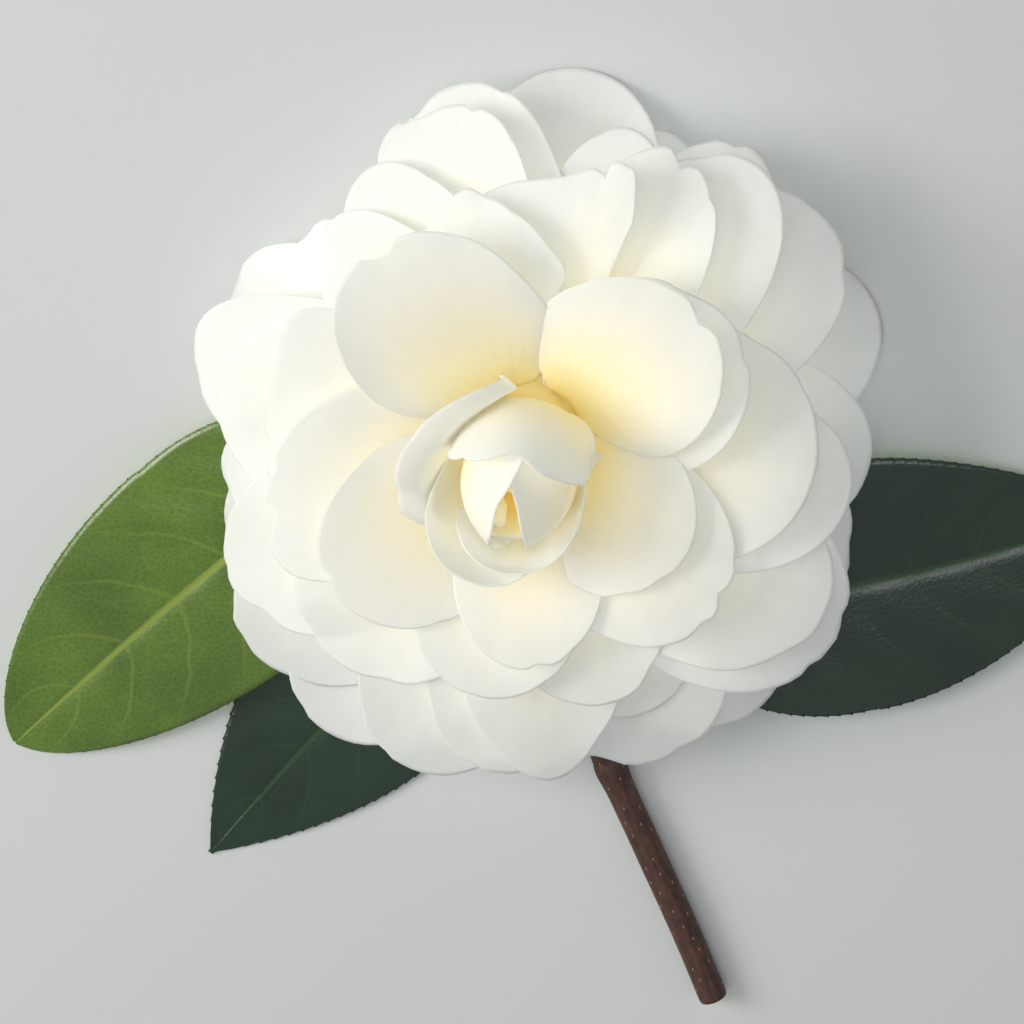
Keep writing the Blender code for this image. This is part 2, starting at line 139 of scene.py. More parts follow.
# The petals' meshes: name, whorls, quads across and along a petal, and whether it leans.
PETAL_LAYERS = (("petals_outer", WHORLS[:3], 44, 24, False),
                ("petals_middle", WHORLS[3:9], 46, 28, False),
                ("petals_rosette", WHORLS[9:], 44, 40, False),
                ("petals_heart", HEART, 52, 48, True))

SEPAL_RINGS = (
    ("calyx_inner_sepals", dict(root=(1.5, 5.4), arch=-8, cup=8, heel=8, claw=4.5),
     (0, 8.2, 5.8, 9.0), 20.0),
    ("calyx_outer_sepals", dict(root=(1.5, 5.6), arch=-14, cup=9, heel=9, claw=4.5),
     (0, 11.6, 7.0, 10.6), 56.0),
)
SEPAL_COUNT = 5
SEPAL_GRID = 17
SEPAL_THICKNESS = 0.5
SEAT_SIDES = 32
CALYX_DISC = ((2.55, 5.0), (3.3, 5.35), (3.15, 5.9))

TWIG_ROUTE = ((-0.6, 3.4), (0.0, 0.0), (0.6, -6.0), (1.4, -16.0), (2.6, -28.0), (5.2, -42.0),
              (9.6, -56.0), (16.0, -71.0), (22.5, -86.0), (26.5, -96.0))
TWIG_RADIUS = 2.2
TWIG_JOINTS = ((0.097, 0.35), (0.165, 0.25), (0.334, 0.4), (0.6, 0.3))
TWIG_JOINT_LENGTH = 0.026
TWIG_STEPS = 220
TWIG_SIDES = 40
SCAR_DEPTH = 0.12               # the ring-shaped scar just before each joint
PEDICEL = ((2.4, 1.2), (2.3, 3.6), (2.65, 4.65))

# Each leaf: its midrib's points from the petiole's end to the tip, width, heights of base, crown
# and tip, how far its halves fold up, how blunt its tip is, where its petiole leaves the twig, and
# how much of a full tooth its margin has.
LEAVES = {
    "leaf_left": dict(midrib=((-19, -3.5), (-45, -22), (-82, -60)), width=37, fold=0.05,
                      heights=(3.0, 3.8, 0.3), blunt=0.62, petiole=((-2.75, -6.5), (-9, -3.6)),
                      slot="leaf_yellow_green", teeth=0.3),
    "leaf_lower_left": dict(midrib=((-4.3, -19), (-22, -40), (-52, -77)), width=33, fold=0.02,
                            heights=(2.1, 0.7, 0.3), blunt=0.95,
                            petiole=((-3.3, -12.4), (-3.8, -15.5)), slot="leaf_green",
                            teeth=1.25),
    "leaf_right": dict(midrib=((12, -31.5), (42, -30), (84, -14)), width=39, fold=0.10,
                       heights=(2.6, 3.2, 0.2), blunt=0.9, petiole=((6.3, -30.3), (8.8, -30.8)),
                       slot="leaf_green", teeth=0.8),
}
LEAF_TAPER = 0.3
PETIOLE_HEIGHT = 1.95
VEIN_PAIRS = 8
VEIN_SWEEP = 0.17               # how far forward a side vein runs, as a share of the leaf's length
TEETH_A_SIDE = 44
TOOTH_TIP_RADIUS = 0.1
LEAF_ROWS = 352
LEAF_COLUMNS = 40
LEAST_HALF_WIDTH = 0.45
GROOVE_DEPTH = 0.3              # how far the midrib sinks in the blade
GROOVE_HALF_WIDTH = 0.7
WAVE = 0.35                     # height of the slow wave in the blade's sides
PETIOLE_STEPS = 48
PETIOLE_SIDES = 20

# The stage: each light's name, place, size, power and colour, the floor and the camera.
LIGHTS = (("window light", (-600, 150, 470), 420, 4.9, "#FFFCF8"),
          ("sky light", (-100, 200, 760), 560, 2.3, "#F8FAFF"))
LIT_POINT = (0, 0, 20)
FLOOR_HALF_SIDE = 900
FLOOR_DROP = 0.05               # how far the floor lies under the part
CAMERA_AIM = (-1.3, -6.9, 30.0)
CAMERA_SIDE = (0.1139, 0.3569, 0.9272)      # where the camera stands, seen from that point
CAMERA_FAR = 420
CAMERA_SEES = 139.5             # width of the picture at that point
SENSOR = 36.0


# -------- sizes and colours to change
def linear(code):
    """An sRGB hex colour as linear red, green and blue."""
    parts = [int(code[i:i + 2], 16) / 255 for i in (1, 3, 5)]
    return [c / 12.92 if c <= 0.04045 else ((c + 0.055) / 1.055) ** 2.4 for c in parts]


def length(name, description, millimetres):
    return bpy.props.FloatProperty(name=name, description=description, default=millimetres * MM,
                                   min=0.0, subtype="DISTANCE", unit="LENGTH", precision=5)


def colour(name, description, code):
    return bpy.props.FloatVectorProperty(name=name, description=description, subtype="COLOR",
                                         size=3, min=0.0, max=1.0, default=linear(code))


class CamelliaSizes(bpy.types.PropertyGroup):
    petal_thickness: length("Petal thickness", "Thickness of a petal in its middle", 0.38)
    petal_ripple: length("Petal ripple", "Height of the soft waves in a petal's rim", 1.3)
    petal_ripple_size: length("Ripple size", "Distance between the waves in a petal's rim", 9.0)
    petal_turned_rim: length("Turned rim", "How far a petal's rim turns down", 0.3)
    leaf_thickness: length("Leaf thickness", "Thickness of a leaf blade", 0.5)
    leaf_quilting: length("Leaf quilting", "How far a leaf bulges between its side veins", 0.35)
    tooth: length("Leaf tooth", "How far a tooth stands out of the leaf's margin", 0.22)
    lenticel: length("Lenticel", "Length of a breathing pore on the bark", 0.55)
    lenticel_spacing: length("Lenticel spacing", "Least distance between two pores", 1.9)


class CamelliaColours(bpy.types.PropertyGroup):
    petal_white: colour("Petal rim", "Cool white of the petals' rims", "#F7F9FA")
    # Cream and yellow low on a petal are partly its pigment and partly painted warm glow, the
    # light bounced between petals.
    petal_cream: colour("Petal cream", "Warm cream lower down a petal", "#FFFBEF")
    petal_yellow: colour("Petal base", "Yellow at the base of the inner petals", "#FFF3C2")
    petal_gold: colour("Petal heart", "Gold at the very foot of the innermost petals", "#FDE38E")
    sepal_green: colour("Sepal", "Brown-green of the sepals", "#6E6A38")
    sepal_edge: colour("Sepal edge", "Dry brown edge of the sepals", "#5A4630")
    bark: colour("Bark", "Red-brown of the young bark", "#4C2A1C")
    bark_dark: colour("Bark streaks", "Darker streaks in the bark", "#2A160F")
    leaf_green: colour("Dark leaf", "Mature dark green leaf", "#142A17")
    leaf_vein: colour("Dark leaf vein", "Veins of the dark leaves", "#26401F")
    young_green: colour("Yellow-green leaf", "Young yellow-green leaf", "#4E661C")
    young_vein: colour("Yellow-green vein", "Veins of the yellow-green leaf", "#7E8E36")


# -------- nodes and meshes
MATH, VECTOR_MATH = "ShaderNodeMath", "ShaderNodeVectorMath"
RANGE, NOISE = "ShaderNodeMapRange", "ShaderNodeTexNoise"


def feed(tree, node, inputs):
    """Give a node's inputs, in order or by name, their values or links. A link comes from a socket
    or from a node's first output."""
    for where, source in inputs.items() if isinstance(inputs, dict) else enumerate(inputs):
        if isinstance(source, bpy.types.Node):
            source = source.outputs[0]
        if isinstance(source, bpy.types.NodeSocket):
            tree.links.new(source, node.inputs[where])
        else:
            node.inputs[where].default_value = source


def add(tree, kind, inputs=(), operation=None, **settings):
    """A node of this kind: what its inputs are fed, what it does with them and its settings."""
    made = tree.nodes.new(kind)
    if operation:
        made.operation = operation
    for name, value in settings.items():
        setattr(made, name, value)
    feed(tree, made, inputs)
    return made


def set_ramp(node, *stops):
    """Give a colour ramp its stops, each a place and a linear colour, lowest first."""
    elements = node.color_ramp.elements
    for number, (place, shade) in enumerate(stops):
        stop = elements[number] if number < len(elements) else elements.new(place)
        stop.position = place
        stop.color = (*shade, 1)


def new_finish(name, values):
    """A finish with a standard shader that holds these values, its tree and the shader."""
    finish = bpy.data.materials.new(name)
    finish.use_nodes = True
    shader = finish.node_tree.nodes["Principled BSDF"]
    feed(finish.node_tree, shader, values)
    return finish, finish.node_tree, shader


def placed(made):
    """An object, put in the scene."""
    bpy.context.scene.collection.objects.link(made)
    return made


def mesh_object(name, points, faces, numbers=None):
    """An object at the origin from points in millimetres, with numbers kept at its points."""
    mesh = bpy.data.meshes.new(name)
    mesh.from_pydata((np.asarray(points, float) * MM).tolist(), [], faces)
    for key, values in (numbers or {}).items():
        kept = mesh.attributes.new(key, "FLOAT", "POINT")
        kept.data.foreach_set("value", np.asarray(values, np.float32).ravel())
    mesh.update()
    return placed(bpy.data.objects.new(name, mesh))


def geometry_tree(name, numbers):
    """An empty geometry tree, the sockets that it is given and its output node. Its named inputs
    are whole numbers (INT), plain ones (NONE), or lengths and angles, by subtype."""
    tree = bpy.data.node_groups.new(name, "GeometryNodeTree")
    tree.interface.new_socket("Geometry", in_out="INPUT", socket_type="NodeSocketGeometry")
    for label, kind in numbers.items():
        socket = tree.interface.new_socket(
            label, in_out="INPUT",
            socket_type="NodeSocketInt" if kind == "INT" else "NodeSocketFloat")
        if kind != "INT":
            socket.subtype = kind
    tree.interface.new_socket("Geometry", in_out="OUTPUT", socket_type="NodeSocketGeometry")
    return tree, add(tree, "NodeGroupInput").outputs, add(tree, "NodeGroupOutput")


def ended(tree, last, finish, result):
    """A geometry tree, ended: what its last node gives is made real and smooth, in its finish."""
    real = add(tree, "GeometryNodeRealizeInstances", {"Geometry": last})
    smooth = add(tree, "GeometryNodeSetShadeSmooth", {"Geometry": real})
    dressed = add(tree, "GeometryNodeSetMaterial", {"Geometry": smooth, "Material": finish})
    feed(tree, result, {0: dressed})
    return tree


def grown(name, seedling, tree, values):
    """The plain mesh that a geometry tree grows from an object, which it takes the place of."""
    modifier = seedling.modifiers.new(tree.name, "NODES")
    modifier.node_group = tree
    for socket in tree.interface.items_tree:
        if socket.in_out == "INPUT" and socket.name in values:
            modifier[socket.identifier] = values[socket.name]
    graph = bpy.context.evaluated_depsgraph_get()
    mesh = bpy.data.meshes.new_from_object(seedling.evaluated_get(graph))
    if not mesh.polygons:
        raise RuntimeError(f"{tree.name} grew nothing for {name}")
    seedling.modifiers.clear()
    bpy.data.objects.remove(seedling, do_unlink=True)
    mesh.name = name
    return placed(bpy.data.objects.new(name, mesh))


def finished(piece, slot, *nodes):
    """A piece that rides on the part and stands for these nodes; its slot is not used."""
    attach(piece, "root")
    if nodes:
        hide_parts(*nodes)


# -------- petals
def petal_surface(habit, petal, us, vs):
    """Points of a petal's middle surface: vs from its root to its rim, us from side to side."""
    azimuth, reach, height, width = petal
    root_r, root_z = habit["root"]
    turn = -math.radians(habit["arch"])
    rise = math.atan2(height - root_z, reach - root_r) - turn / 2
    chord = math.hypot(height - root_z, reach - root_r)
    spine = chord * (turn / 2) / math.sin(turn / 2)
    half = width / 2
    tip = habit["end"] * spine
    centre = spine - tip

    # The rim is an ellipse, squared if need be, met by straight sides from the claw.
    turned = us * math.acos(-tip / centre) * RIM_SWEEP
    ahead, beside = np.cos(turned), np.sin(turned)
    power = habit["square"]
    rim_along = centre + tip * np.sign(ahead) * np.abs(ahead) ** power + habit["skew"] * beside
    rim_across = half * np.sign(beside) * np.abs(beside) ** power
    v = vs[:, None]
    cut = sum((deep * np.exp(-((us - at) / wide) ** 2) for at, deep, wide in habit["notches"]),
              np.zeros_like(us))
    along = (v - v**6 * cut / spine) * rim_along
    across = v * rim_across + us * habit["claw"] / 2 * (1 - v) ** 2

    # The spine is an arc, and the cross-section curves up and rolls towards the sides.
    share = along / spine
    angle = rise + turn * share
    r = root_r + spine * (np.sin(angle) - math.sin(rise)) / turn
    z = root_z + spine * (math.cos(rise) - np.cos(angle)) / turn
    grown_up = np.clip(share / HEEL_TO, 0, 1)[..., None]
    steps = (np.arange(ROLL_STEPS) + 0.5) / ROLL_STEPS
    out_to = across[..., None] / half * steps
    bend = np.radians(habit["cup"] * grown_up + habit["heel"] * (1 - grown_up)) * out_to
    rolled = np.clip((np.abs(out_to) - ROLL_FROM) / (1 - ROLL_FROM), 0, 1.3) ** 2
    rolled = rolled * np.clip(share, 0, 1)[..., None]
    roll = np.radians(np.where(out_to > 0, habit["right"], habit["left"]))
    bend = bend + np.sign(out_to) * roll * rolled
    lateral = across * np.cos(bend).mean(-1)
    raised = across * np.sin(bend).mean(-1)
    raised = raised + habit["lip"] * np.clip((v - LIP_FROM) / (1 - LIP_FROM), 0, 1) ** 2
    bank = math.radians(habit["bank"])
    aside = lateral * math.cos(bank) - raised * math.sin(bank)
    out = lateral * math.sin(bank) + raised * math.cos(bank)
    r = r - np.sin(angle) * out
    z = z + np.cos(angle) * out
    phi = math.radians(azimuth)
    return np.stack([r * math.cos(phi) + aside * math.sin(phi),
                     r * math.sin(phi) - aside * math.cos(phi), z], axis=-1)


def leaned(points):
    """Points of the heart, leaned about its pivot."""
    towards = math.radians(HEART_TOWARDS)
    axis = Vector((-math.sin(towards), math.cos(towards), 0))
    turn = np.array(Matrix.Rotation(math.radians(HEART_LEAN), 3, axis))
    pivot = np.array((0, 0, HEART_PIVOT))
    return (points - pivot) @ turn.T + pivot


def sheet_faces(rows, columns, first=0):
    """Quads of a grid of points, facing along down x across."""
    at = np.arange(rows * columns).reshape(rows, columns) + first
    corners = np.stack([at[:-1, :-1], at[1:, :-1], at[1:, 1:], at[:-1, 1:]], -1)
    return corners.reshape(-1, 4).tolist()


def petal_sheets(name, whorls, columns, rows, lean, draw):
    """All the petals of these whorls as open sheets in one mesh, with what the finish reads."""
    us = np.linspace(-1, 1, columns + 1)
    vs = FIRST_SEEN + (RIM_ROW - FIRST_SEEN) * np.linspace(0, 1, rows) ** 0.85
    vs = np.append(vs, 1.0)
    points, faces, count = [], [], 0
    numbers = {key: [] for key in ("along", "across", "edge", "warmth", "shade")}
    along = vs[:, None]
    edge = 1 - (1 - along**6) * (1 - us**6)
    for whorl in whorls:
        for azimuth, reach, height, width, *own in whorl["petals"]:
            habit = {**PETAL_HABIT, **whorl, **dict(*own)}
            nicks = zip(draw.uniform(-0.6, 0.6, NICKS),
                        draw.uniform(0.1, 0.85, NICKS) ** 2 * 1.5,
                        draw.uniform(0.025, 0.08, NICKS))
            habit["notches"] = (*habit["notches"], *nicks)
            surface = petal_surface(habit, (azimuth, reach, height, width), us, vs)
            if lean:
                surface = leaned(surface)
            surface[..., 2] = np.maximum(surface[..., 2], REST_GAP)
            points.append(surface.reshape(-1, 3))
            faces += sheet_faces(rows + 1, columns + 1, count)
            count += surface.shape[0] * surface.shape[1]
            # How yellow each point is, more towards the base: pigment, and painted warm glow of
            # the light bounced between petals.
            warmth = habit["warm"] * (0.06 + 0.94 * (1 - along) ** 1.7)
            for values, kept in zip(numbers.values(), (along, us, edge, warmth,
                                                       draw.uniform(0, 1))):
                values.append(np.broadcast_to(kept, surface.shape[:2]).ravel())
    numbers = {key: np.concatenate(values) for key, values in numbers.items()}
    return mesh_object(name, np.concatenate(points), faces, numbers)


def petal_flesh_tree(finish):
    """Sheets become petals: soft waves that grow towards the rim, which turns down a little, then
    a thickness and a rim."""
    tree, given, result = geometry_tree("Petal flesh", {
        "Thickness": "DISTANCE", "Ripple": "DISTANCE", "Ripple size": "DISTANCE",
        "Turned rim": "DISTANCE", "Seed": "NONE"})
    along = add(tree, "GeometryNodeInputNamedAttribute", {"Name": "along"})
    near_rim = add(tree, MATH, (along, 3.0), "POWER")
    scale = add(tree, MATH, (1.0, given["Ripple size"]), "DIVIDE")
    waves = add(tree, NOISE, {
        "W": given["Seed"], "Scale": scale, "Detail": 2.0}, noise_dimensions="4D")
    centred = add(tree, MATH, (waves, 0.5), "SUBTRACT")
    high = add(tree, MATH, (centred, given["Ripple"]), "MULTIPLY")
    faded = add(tree, MATH, (high, near_rim), "MULTIPLY")
    edge = add(tree, "GeometryNodeInputNamedAttribute", {"Name": "edge"})
    lowered = add(tree, MATH, (edge, given["Turned rim"]), "MULTIPLY")
    moved = add(tree, MATH, (faded, lowered), "ADD")
    facing = add(tree, "GeometryNodeInputNormal")
    push = add(tree, VECTOR_MATH, {0: facing, "Scale": moved}, "SCALE")
    rippled = add(tree, "GeometryNodeSetPosition", {"Geometry": given["Geometry"], "Offset": push})
    kept = add(tree, "GeometryNodeCaptureAttribute", {"Geometry": rippled})
    kept.capture_items.new("VECTOR", "Facing")
    feed(tree, kept, {"Facing": facing})
    thinner = add(tree, RANGE, (along, 0.7, 1.0, 1.0, 0.4), interpolation_type="SMOOTHSTEP")
    thick = add(tree, MATH, (thinner, given["Thickness"]), "MULTIPLY")
    half = add(tree, MATH, (thick, -0.5), "MULTIPLY")
    down = add(tree, VECTOR_MATH, {0: kept.outputs["Facing"], "Scale": half}, "SCALE")
    up = add(tree, VECTOR_MATH, {0: kept.outputs["Facing"], "Scale": thick}, "SCALE")
    under = add(tree, "GeometryNodeSetPosition", {"Geometry": kept, "Offset": down})
    walls = add(tree, "GeometryNodeExtrudeMesh", {
        "Mesh": under, "Offset Scale": 0.0, "Individual": False}, mode="FACES")
    raised = add(tree, "GeometryNodeSetPosition", {
        "Geometry": walls, "Selection": walls.outputs["Top"], "Offset": up})
    turned = add(tree, "GeometryNodeFlipFaces", {"Mesh": under})
    both = add(tree, "GeometryNodeJoinGeometry", {"Geometry": raised})
    feed(tree, both, {0: turned})
    closed = add(tree, "GeometryNodeMergeByDistance", {"Geometry": both, "Distance": 1e-6})
    return ended(tree, closed, finish, result)


def petal_finish(colours):
    """Living petal tissue: thin, watery cells under a matt waxy skin, so light passes through it
    and scatters. The rim is a cool white. Low down the colour turns yellow: partly pigment at
    the base, and partly painted warm glow, the light that bounces between petals painted in."""
    finish, tree, shader = new_finish("living petal, waxy and translucent", {
        "Roughness": 0.5, "IOR": 1.4, "Specular IOR Level": 0.35, "Sheen Weight": 0.08,
        "Sheen Roughness": 0.5})
    warmth, along, across, shade = (
        add(tree, "ShaderNodeAttribute", attribute_name=name).outputs["Fac"]
        for name in ("warmth", "along", "across", "shade"))
    place = add(tree, "ShaderNodeTexCoord").outputs["Object"]

    # Yellow low down, pigment and painted warm glow between petals: mottled a little at 4 mm.
    mottle = add(tree, NOISE, {"Vector": place, "Scale": 1 / (4 * MM), "Detail": 2.0})
    warm = add(tree, MATH, (mottle, 0.06, warmth), "MULTIPLY_ADD")
    tint = add(tree, "ShaderNodeValToRGB", {"Fac": warm})
    set_ramp(tint, (0.0, colours.petal_white), (0.2, colours.petal_cream),
             (0.72, colours.petal_yellow), (1.0, colours.petal_gold))

    # Veins fan out from the claw: about one a millimetre across a petal, fainter towards the rim.
    wander = add(tree, NOISE, {"Vector": place, "Scale": 1 / (6 * MM), "Detail": 3.0})
    fan = add(tree, MATH, (across, 13.0), "MULTIPLY")
    swayed = add(tree, MATH, (wander, 2.2, fan), "MULTIPLY_ADD")
    comb = add(tree, MATH, (swayed, 1.0), "PINGPONG")
    line = add(tree, RANGE, (comb, 0.0, 0.35, 1.0, 0.0), interpolation_type="SMOOTHSTEP")
    seen = add(tree, RANGE, (along, 0.25, 0.8, 1.0, 0.35))
    vein = add(tree, MATH, (line, seen), "MULTIPLY")
    veined = add(tree, MATH, (vein, -1.0, shade), "MULTIPLY_ADD")
    tone = add(tree, RANGE, (veined, -1.0, 1.0, 0.955, 1.0))
    tinted = add(tree, VECTOR_MATH, {0: tint, "Scale": tone}, "SCALE")

    # Relief: veins stand 0.03 mm proud and cells give a fine grain, drawn at 0.35 mm to show.
    cells = add(tree, NOISE, {"Vector": place, "Scale": 1 / (0.35 * MM), "Detail": 1.0})
    relief = add(tree, MATH, (cells, 0.5, vein), "MULTIPLY_ADD")
    bump = add(tree, "ShaderNodeBump", {"Height": relief, "Strength": 0.45, "Distance": 0.03 * MM})
    feed(tree, shader, {"Base Color": tinted, "Normal": bump})

    filtered = add(tree, VECTOR_MATH, (tinted, (1.0, 1.0, 0.95)), "MULTIPLY")
    through = add(tree, "ShaderNodeBsdfTranslucent", {"Color": filtered, "Normal": bump})
    both = add(tree, "ShaderNodeMixShader", (0.5, shader, through))
    feed(tree, tree.nodes["Material Output"], {"Surface": both})
    return finish


class CAMELLIA_OT_bloom(bpy.types.Operator):
    """Build the bloom's petals, whorl by whorl, the closed heart and the receptacle inside"""
    bl_idname = "camellia.bloom"
    bl_label = "Bloom"

    def execute(self, context):
        sizes = context.scene.camellia_sizes
        finish = petal_finish(context.scene.camellia_colours)
        tree = petal_flesh_tree(finish)
        draw = np.random.default_rng(PETAL_SEED)
        for number, (name, whorls, columns, rows, lean) in enumerate(PETAL_LAYERS):
            sheets = petal_sheets(name + "_sheets", whorls, columns, rows, lean, draw)
            petals = grown(name, sheets, tree, {
                "Thickness": sizes.petal_thickness, "Ripple": sizes.petal_ripple,
                "Ripple size": sizes.petal_ripple_size, "Turned rim": sizes.petal_turned_rim,
                "Seed": float(number)})
            finished(petals, "petals", "bloom")
        finished(turned_mesh("receptacle", RECEPTACLE, RECEPTACLE_SIDES, finish, warmth=0.75),
                 "petals")
        return {"FINISHED"}


# -------- calyx
def sepal_whorl_tree(finish):
    """One sepal set round the receptacle again and again, each turned on and sized by chance."""
    tree, given, result = geometry_tree("Sepal whorl", {
        "Count": "INT", "First turn": "ANGLE", "Size variation": "NONE", "Seed": "INT"})
    places = add(tree, "GeometryNodeMeshLine", {"Count": given["Count"], "Offset": (0, 0, 0)})
    index = add(tree, "GeometryNodeInputIndex")
    step = add(tree, MATH, (math.tau, given["Count"]), "DIVIDE")
    turn = add(tree, MATH, (index, step, given["First turn"]), "MULTIPLY_ADD")
    about = add(tree, "ShaderNodeCombineXYZ", {"Z": turn})
    least = add(tree, MATH, (1.0, given["Size variation"]), "SUBTRACT")
    chance = add(tree, "FunctionNodeRandomValue", {
        2: least, 3: 1.0, "Seed": given["Seed"]}, data_type="FLOAT")
    ring = add(tree, "GeometryNodeInstanceOnPoints", {
        "Points": places, "Instance": given["Geometry"], "Rotation": about,
        "Scale": chance.outputs[1]})
    return ended(tree, ring, finish, result)


def sepal_finish(colours):
    """Bud scale: tough tissue with a silky down that dulls it, drying to brown at its edge."""
    finish, tree, shader = new_finish("downy bud scale", {
        "Roughness": 0.65, "Sheen Weight": 0.4, "Sheen Roughness": 0.4})
    along = add(tree, "ShaderNodeAttribute", attribute_name="along").outputs["Fac"]
    place = add(tree, "ShaderNodeTexCoord").outputs["Object"]
    blotch = add(tree, NOISE, {"Vector": place, "Scale": 1 / (1.5 * MM), "Detail": 4.0})
    dry = add(tree, MATH, (blotch, 0.5, along), "MULTIPLY_ADD")
    tint = add(tree, "ShaderNodeValToRGB", {"Fac": dry})
    set_ramp(tint, (0.7, colours.sepal_green), (1.2 / 1.25, colours.sepal_edge))
    bump = add(tree, "ShaderNodeBump", {"Height": blotch, "Strength": 0.6, "Distance": 0.1 * MM})
    feed(tree, shader, {"Base Color": tint, "Normal": bump})
    return finish


def ringed_mesh(name, rings, numbers=None):
    """A closed smooth mesh through rings of points, capped by a fan at each end."""
    rings = np.asarray(rings, float)
    count, sides = rings.shape[:2]
    points = np.concatenate([rings.reshape(-1, 3), rings[:1].mean(1), rings[-1:].mean(1)])
    at = np.arange(count * sides).reshape(count, sides)
    after = np.roll(at, -1, axis=1)
    faces = np.stack([at[:-1], after[:-1], after[1:], at[1:]], -1).reshape(-1, 4).tolist()
    faces += [(count * sides, b, a) for a, b in zip(at[0].tolist(), after[0].tolist())]
    faces += [(count * sides + 1, a, b) for a, b in zip(at[-1].tolist(), after[-1].tolist())]
    made = mesh_object(name, points, faces, numbers)
    made.data.shade_smooth()
    return made


def turned_mesh(name, profile, sides, finish, **numbers):
    """A round mesh about the vertical axis, from (radius, height) pairs, lowest first."""
    angles = np.arange(sides) * math.tau / sides
    rings = [np.stack([r * np.cos(angles), r * np.sin(angles), np.full(sides, z)], -1)
             for r, z in profile]
    count = sides * len(profile) + 2
    made = ringed_mesh(name, rings, {key: np.full(count, x) for key, x in numbers.items()})
    made.data.materials.append(finish)
    return made


class CAMELLIA_OT_calyx(bpy.types.Operator):
    """Build the calyx: two whorls of sepals on the disc under the bloom"""
    bl_idname = "camellia.calyx"
    bl_label = "Calyx"

    def execute(self, context):
        finish = sepal_finish(context.scene.camellia_colours)
        tree = sepal_whorl_tree(finish)
        us, vs = np.linspace(-1, 1, SEPAL_GRID), np.linspace(0, 1, SEPAL_GRID)
        for name, habit, petal, first in SEPAL_RINGS:
            surface = petal_surface({**PETAL_HABIT, **habit}, petal, us, vs)
            sepal = mesh_object(name + "_sheet", surface.reshape(-1, 3),
                                sheet_faces(SEPAL_GRID, SEPAL_GRID),
                                {"along": np.repeat(vs, SEPAL_GRID)})
            walls = sepal.modifiers.new("Wall", "SOLIDIFY")
            walls.thickness = SEPAL_THICKNESS * MM
            walls.offset = 0.0
            whorl = grown(name, sepal, tree, {"Count": SEPAL_COUNT, "Size variation": 0.08,
                                              "First turn": math.radians(first), "Seed": 4})
            finished(whorl, "sepals", "calyx")
        finished(turned_mesh("calyx_disc", CALYX_DISC, SEAT_SIDES, finish, along=0.3), "sepals")
        return {"FINISHED"}


# -------- twig
def smooth_route(points, steps):
    """Evenly spaced points on a smooth curve through the given ones."""
    points = np.asarray(points, float)
    knots = np.concatenate([[0], np.cumsum(np.linalg.norm(np.diff(points, axis=0), axis=1))])
    slopes = np.gradient(points, knots, axis=0)
    where = np.linspace(0, knots[-1], steps + 1)
    i = np.clip(np.searchsorted(knots, where, side="right") - 1, 0, len(knots) - 2)
    span = (knots[i + 1] - knots[i])[:, None]
    t = (where - knots[i])[:, None] / span
    return ((2 * t**3 - 3 * t**2 + 1) * points[i] + (t**3 - 2 * t**2 + t) * span * slopes[i]
            + (3 * t**2 - 2 * t**3) * points[i + 1] + (t**3 - t**2) * span * slopes[i + 1])


def tube_rings(route, radii, sides):
    """Rings of points round a route, one for each of its points."""
    ahead = np.gradient(route, axis=0)
    ahead /= np.linalg.norm(ahead, axis=-1, keepdims=True)
    side = np.cross((0, 0, 1), ahead)
    side /= np.linalg.norm(side, axis=-1, keepdims=True)
    up = np.cross(ahead, side)
    angles = np.arange(sides) * math.tau / sides
    ring = np.cos(angles)[:, None, None] * side + np.sin(angles)[:, None, None] * up
    return route[:, None] + np.swapaxes(ring, 0, 1) * np.asarray(radii)[:, None, None]


def lenticel_tree(finish):
    """Breathing pores strewn over bark: each a low lens that lies along the grain."""
    tree, given, result = geometry_tree("Lenticels", {
        "Length": "DISTANCE", "Spacing": "DISTANCE", "Seed": "INT"})
    strewn = add(tree, "GeometryNodeDistributePointsOnFaces", {
        "Mesh": given["Geometry"], "Distance Min": given["Spacing"], "Seed": given["Seed"],
        "Density Max": 4e5}, distribute_method="POISSON")
    grain = add(tree, "GeometryNodeInputNamedAttribute", {
        "Name": "grain"}, data_type="FLOAT_VECTOR")
    aligned = add(tree, "FunctionNodeAlignRotationToVector", {
        "Rotation": strewn.outputs["Rotation"], "Vector": grain}, axis="X", pivot_axis="Z")
    lens = add(tree, "GeometryNodeMeshIcoSphere", {"Radius": 0.5, "Subdivisions": 2})
    shape = add(tree, "GeometryNodeTransform", {"Geometry": lens, "Scale": (1.0, 0.45, 0.22)})
    pores = add(tree, "GeometryNodeInstanceOnPoints", {
        "Points": strewn, "Instance": shape, "Rotation": aligned, "Scale": given["Length"]})
    return ended(tree, pores, finish, result)


def bark_finish(colours):
    """Young bark: a thin dry skin, red-brown, that splits into fine streaks along the twig."""
    finish, tree, shader = new_finish("young camellia bark", {"Roughness": 0.62})
    along, around = (add(tree, "ShaderNodeAttribute", attribute_name=name).outputs["Fac"]
                     for name in ("along", "around"))
    # Streaks are 0.4 mm wide and some 8 mm long.
    far = add(tree, MATH, (along, 11.0), "MULTIPLY")
    wide = add(tree, MATH, (around, math.tau), "MULTIPLY")
    side = add(tree, MATH, (wide,), "COSINE")
    over = add(tree, MATH, (wide,), "SINE")
    place = add(tree, "ShaderNodeCombineXYZ", {"X": side, "Y": over, "Z": far})
    streaks = add(tree, NOISE, {"Vector": place, "Scale": 3.2, "Detail": 5.0, "Roughness": 0.65})
    tint = add(tree, "ShaderNodeValToRGB", {"Fac": streaks})
    set_ramp(tint, (0.36, colours.bark_dark), (0.62, colours.bark))
    bump = add(tree, "ShaderNodeBump", {"Height": streaks, "Strength": 0.7, "Distance": 0.18 * MM})
    feed(tree, shader, {"Base Color": tint, "Normal": bump})
    return finish


